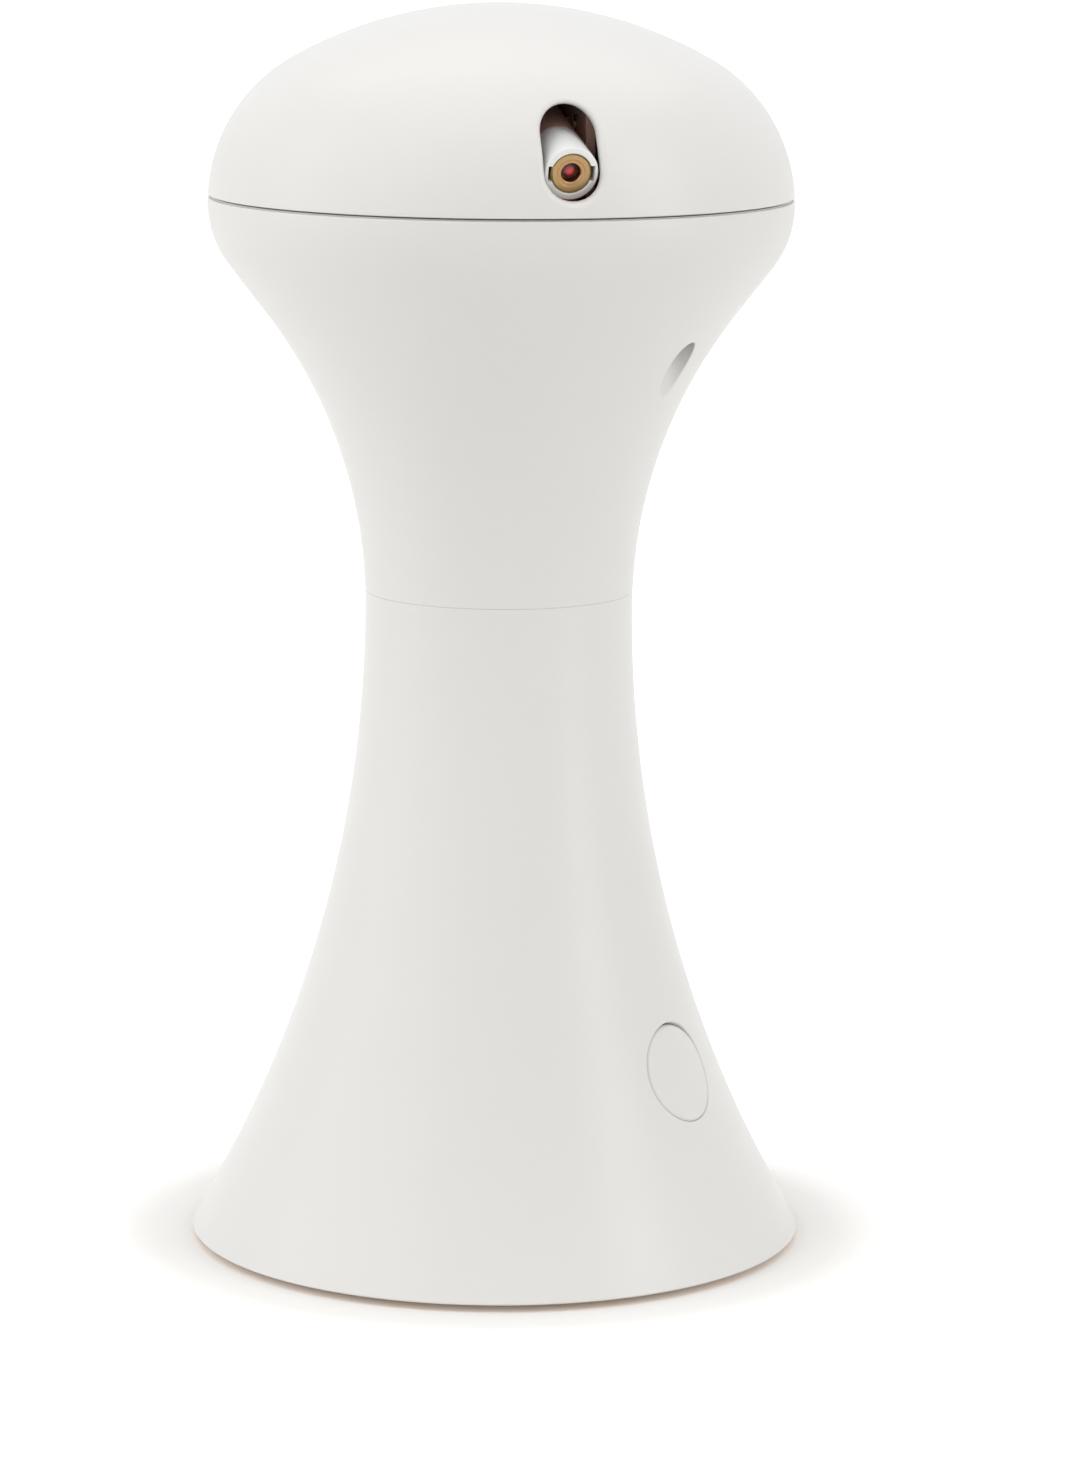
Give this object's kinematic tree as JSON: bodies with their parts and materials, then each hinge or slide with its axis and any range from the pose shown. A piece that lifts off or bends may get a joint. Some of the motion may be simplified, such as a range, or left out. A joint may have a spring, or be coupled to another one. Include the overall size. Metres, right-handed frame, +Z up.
{
  "type": "automatic cat laser toy",
  "caption": "Free-standing cat toy: a flared stand and funnel carry a domed head that turns and points tilting lasers at the floor, with a push button and a battery door.",
  "frame": {"origin": "on the floor, under the middle of the stand", "axes": "+Z up, along the stand's axis; -Y towards the front, where the front laser points at rest, turned 14 degrees towards +X"},
  "size_m": [0.126, 0.126, 0.253],
  "materials": {
    "shell_white": "glossy",
    "button_white": "glossy",
    "tube_white": "glossy",
    "plate_white": "fine matt",
    "foot_rubber": "matt",
    "screw_steel": "zinc plated",
    "switch_black": "matt",
    "board_green": "glossy",
    "chip_black": "matt",
    "capacitor_black": "glossy",
    "cell_jacket": "satin",
    "contact_nickel": "bright",
    "dark_plastic": "fine matt",
    "deck_brown": "fine matt",
    "bush_bronze": "satin",
    "washer_nylon": "waxy",
    "motor_steel": "plated",
    "shaft_steel": "ground",
    "gear_acetal": "waxy",
    "track_copper": "bright",
    "module_brass": "satin turned",
    "lens_glass": "clear"
  },
  "bodies": {
    "stand": {"base_shell": "shell_white", "upper_shell": "shell_white", "bottom_plate": "plate_white", "rubber_feet": "foot_rubber", "bottom_screws": "screw_steel", "shell_screws": "screw_steel", "board_screws": "screw_steel", "gearbox_screws": "screw_steel", "motor_screws": "screw_steel", "tact_switch": "switch_black", "control_board": "board_green", "timer_chip": "chip_black", "filter_capacitor": "capacitor_black", "batteries": "cell_jacket", "battery_contacts": "contact_nickel", "top_plate": "dark_plastic", "gearbox_base": "dark_plastic", "brush_block": "dark_plastic", "head_bush": "bush_bronze", "head_washer": "washer_nylon", "motor": "motor_steel", "motor_end_cap": "dark_plastic", "idler_axle": "shaft_steel", "contact_brushes": "track_copper"},
    "head": {"head_dome": "shell_white", "head_chassis": "deck_brown", "dome_screws": "screw_steel", "head_shaft": "shaft_steel", "output_gear": "gear_acetal", "shaft_clip": "shaft_steel", "slip_ring_board": "board_green", "slip_ring_tracks": "track_copper", "laser_bracket_front": "deck_brown", "laser_bracket_rear": "deck_brown", "bracket_screws": "screw_steel"},
    "laser_front": {"laser_cradle_front": "deck_brown", "laser_tube_front": "tube_white", "laser_module_front": "module_brass", "laser_lens_front": "lens_glass"},
    "laser_rear": {"laser_cradle_rear": "deck_brown", "laser_tube_rear": "tube_white", "laser_module_rear": "module_brass", "laser_lens_rear": "lens_glass"},
    "idler": {"compound_gear": "gear_acetal"},
    "drive": {"motor_pinion": "bush_bronze", "motor_shaft": "shaft_steel"},
    "button": {"push_button": "button_white", "switch_plunger": "switch_black"},
    "door": {"battery_door": "plate_white"}
  },
  "joints": [
    {"name": "head_spin", "type": "hinge", "parent": "stand", "child": "head", "pos_m": [0, 0, 0.2124], "axis": [0, 0, 1], "continuous": true},
    {"name": "idler_spin", "type": "hinge", "parent": "stand", "child": "idler", "pos_m": [0.01119, 0.01777, 0.195], "axis": [0, 0, 1], "continuous": true},
    {"name": "drive_spin", "type": "hinge", "parent": "stand", "child": "drive", "pos_m": [0, 0, 0.19], "axis": [0, 0, 1], "continuous": true},
    {"name": "laser_front_tilt", "type": "hinge", "parent": "head", "child": "laser_front", "pos_m": [0.00726, -0.02911, 0.2302], "axis": [-0.9703, -0.2419, 0], "range_deg": [0, 16]},
    {"name": "laser_rear_tilt", "type": "hinge", "parent": "head", "child": "laser_rear", "pos_m": [-0.00726, 0.02911, 0.2302], "axis": [0.9703, 0.2419, 0], "range_deg": [0, 16]},
    {"name": "button_press", "type": "slide", "parent": "stand", "child": "button", "axis": [-0.7886, 0.4966, -0.3627], "range_m": [0, 0.0008], "stiffness_N_per_m": 1200, "springref_m": -0.0006},
    {"name": "battery_door_swing", "type": "hinge", "parent": "stand", "child": "door", "pos_m": [0, 0.0282, 0.00305], "axis": [1, 0, 0], "range_deg": [0, 80]}
  ],
  "couplings": [
    {"joint": "idler_spin", "follows": "head_spin", "ratio": -3.2},
    {"joint": "drive_spin", "follows": "head_spin", "ratio": 10.24}
  ]
}
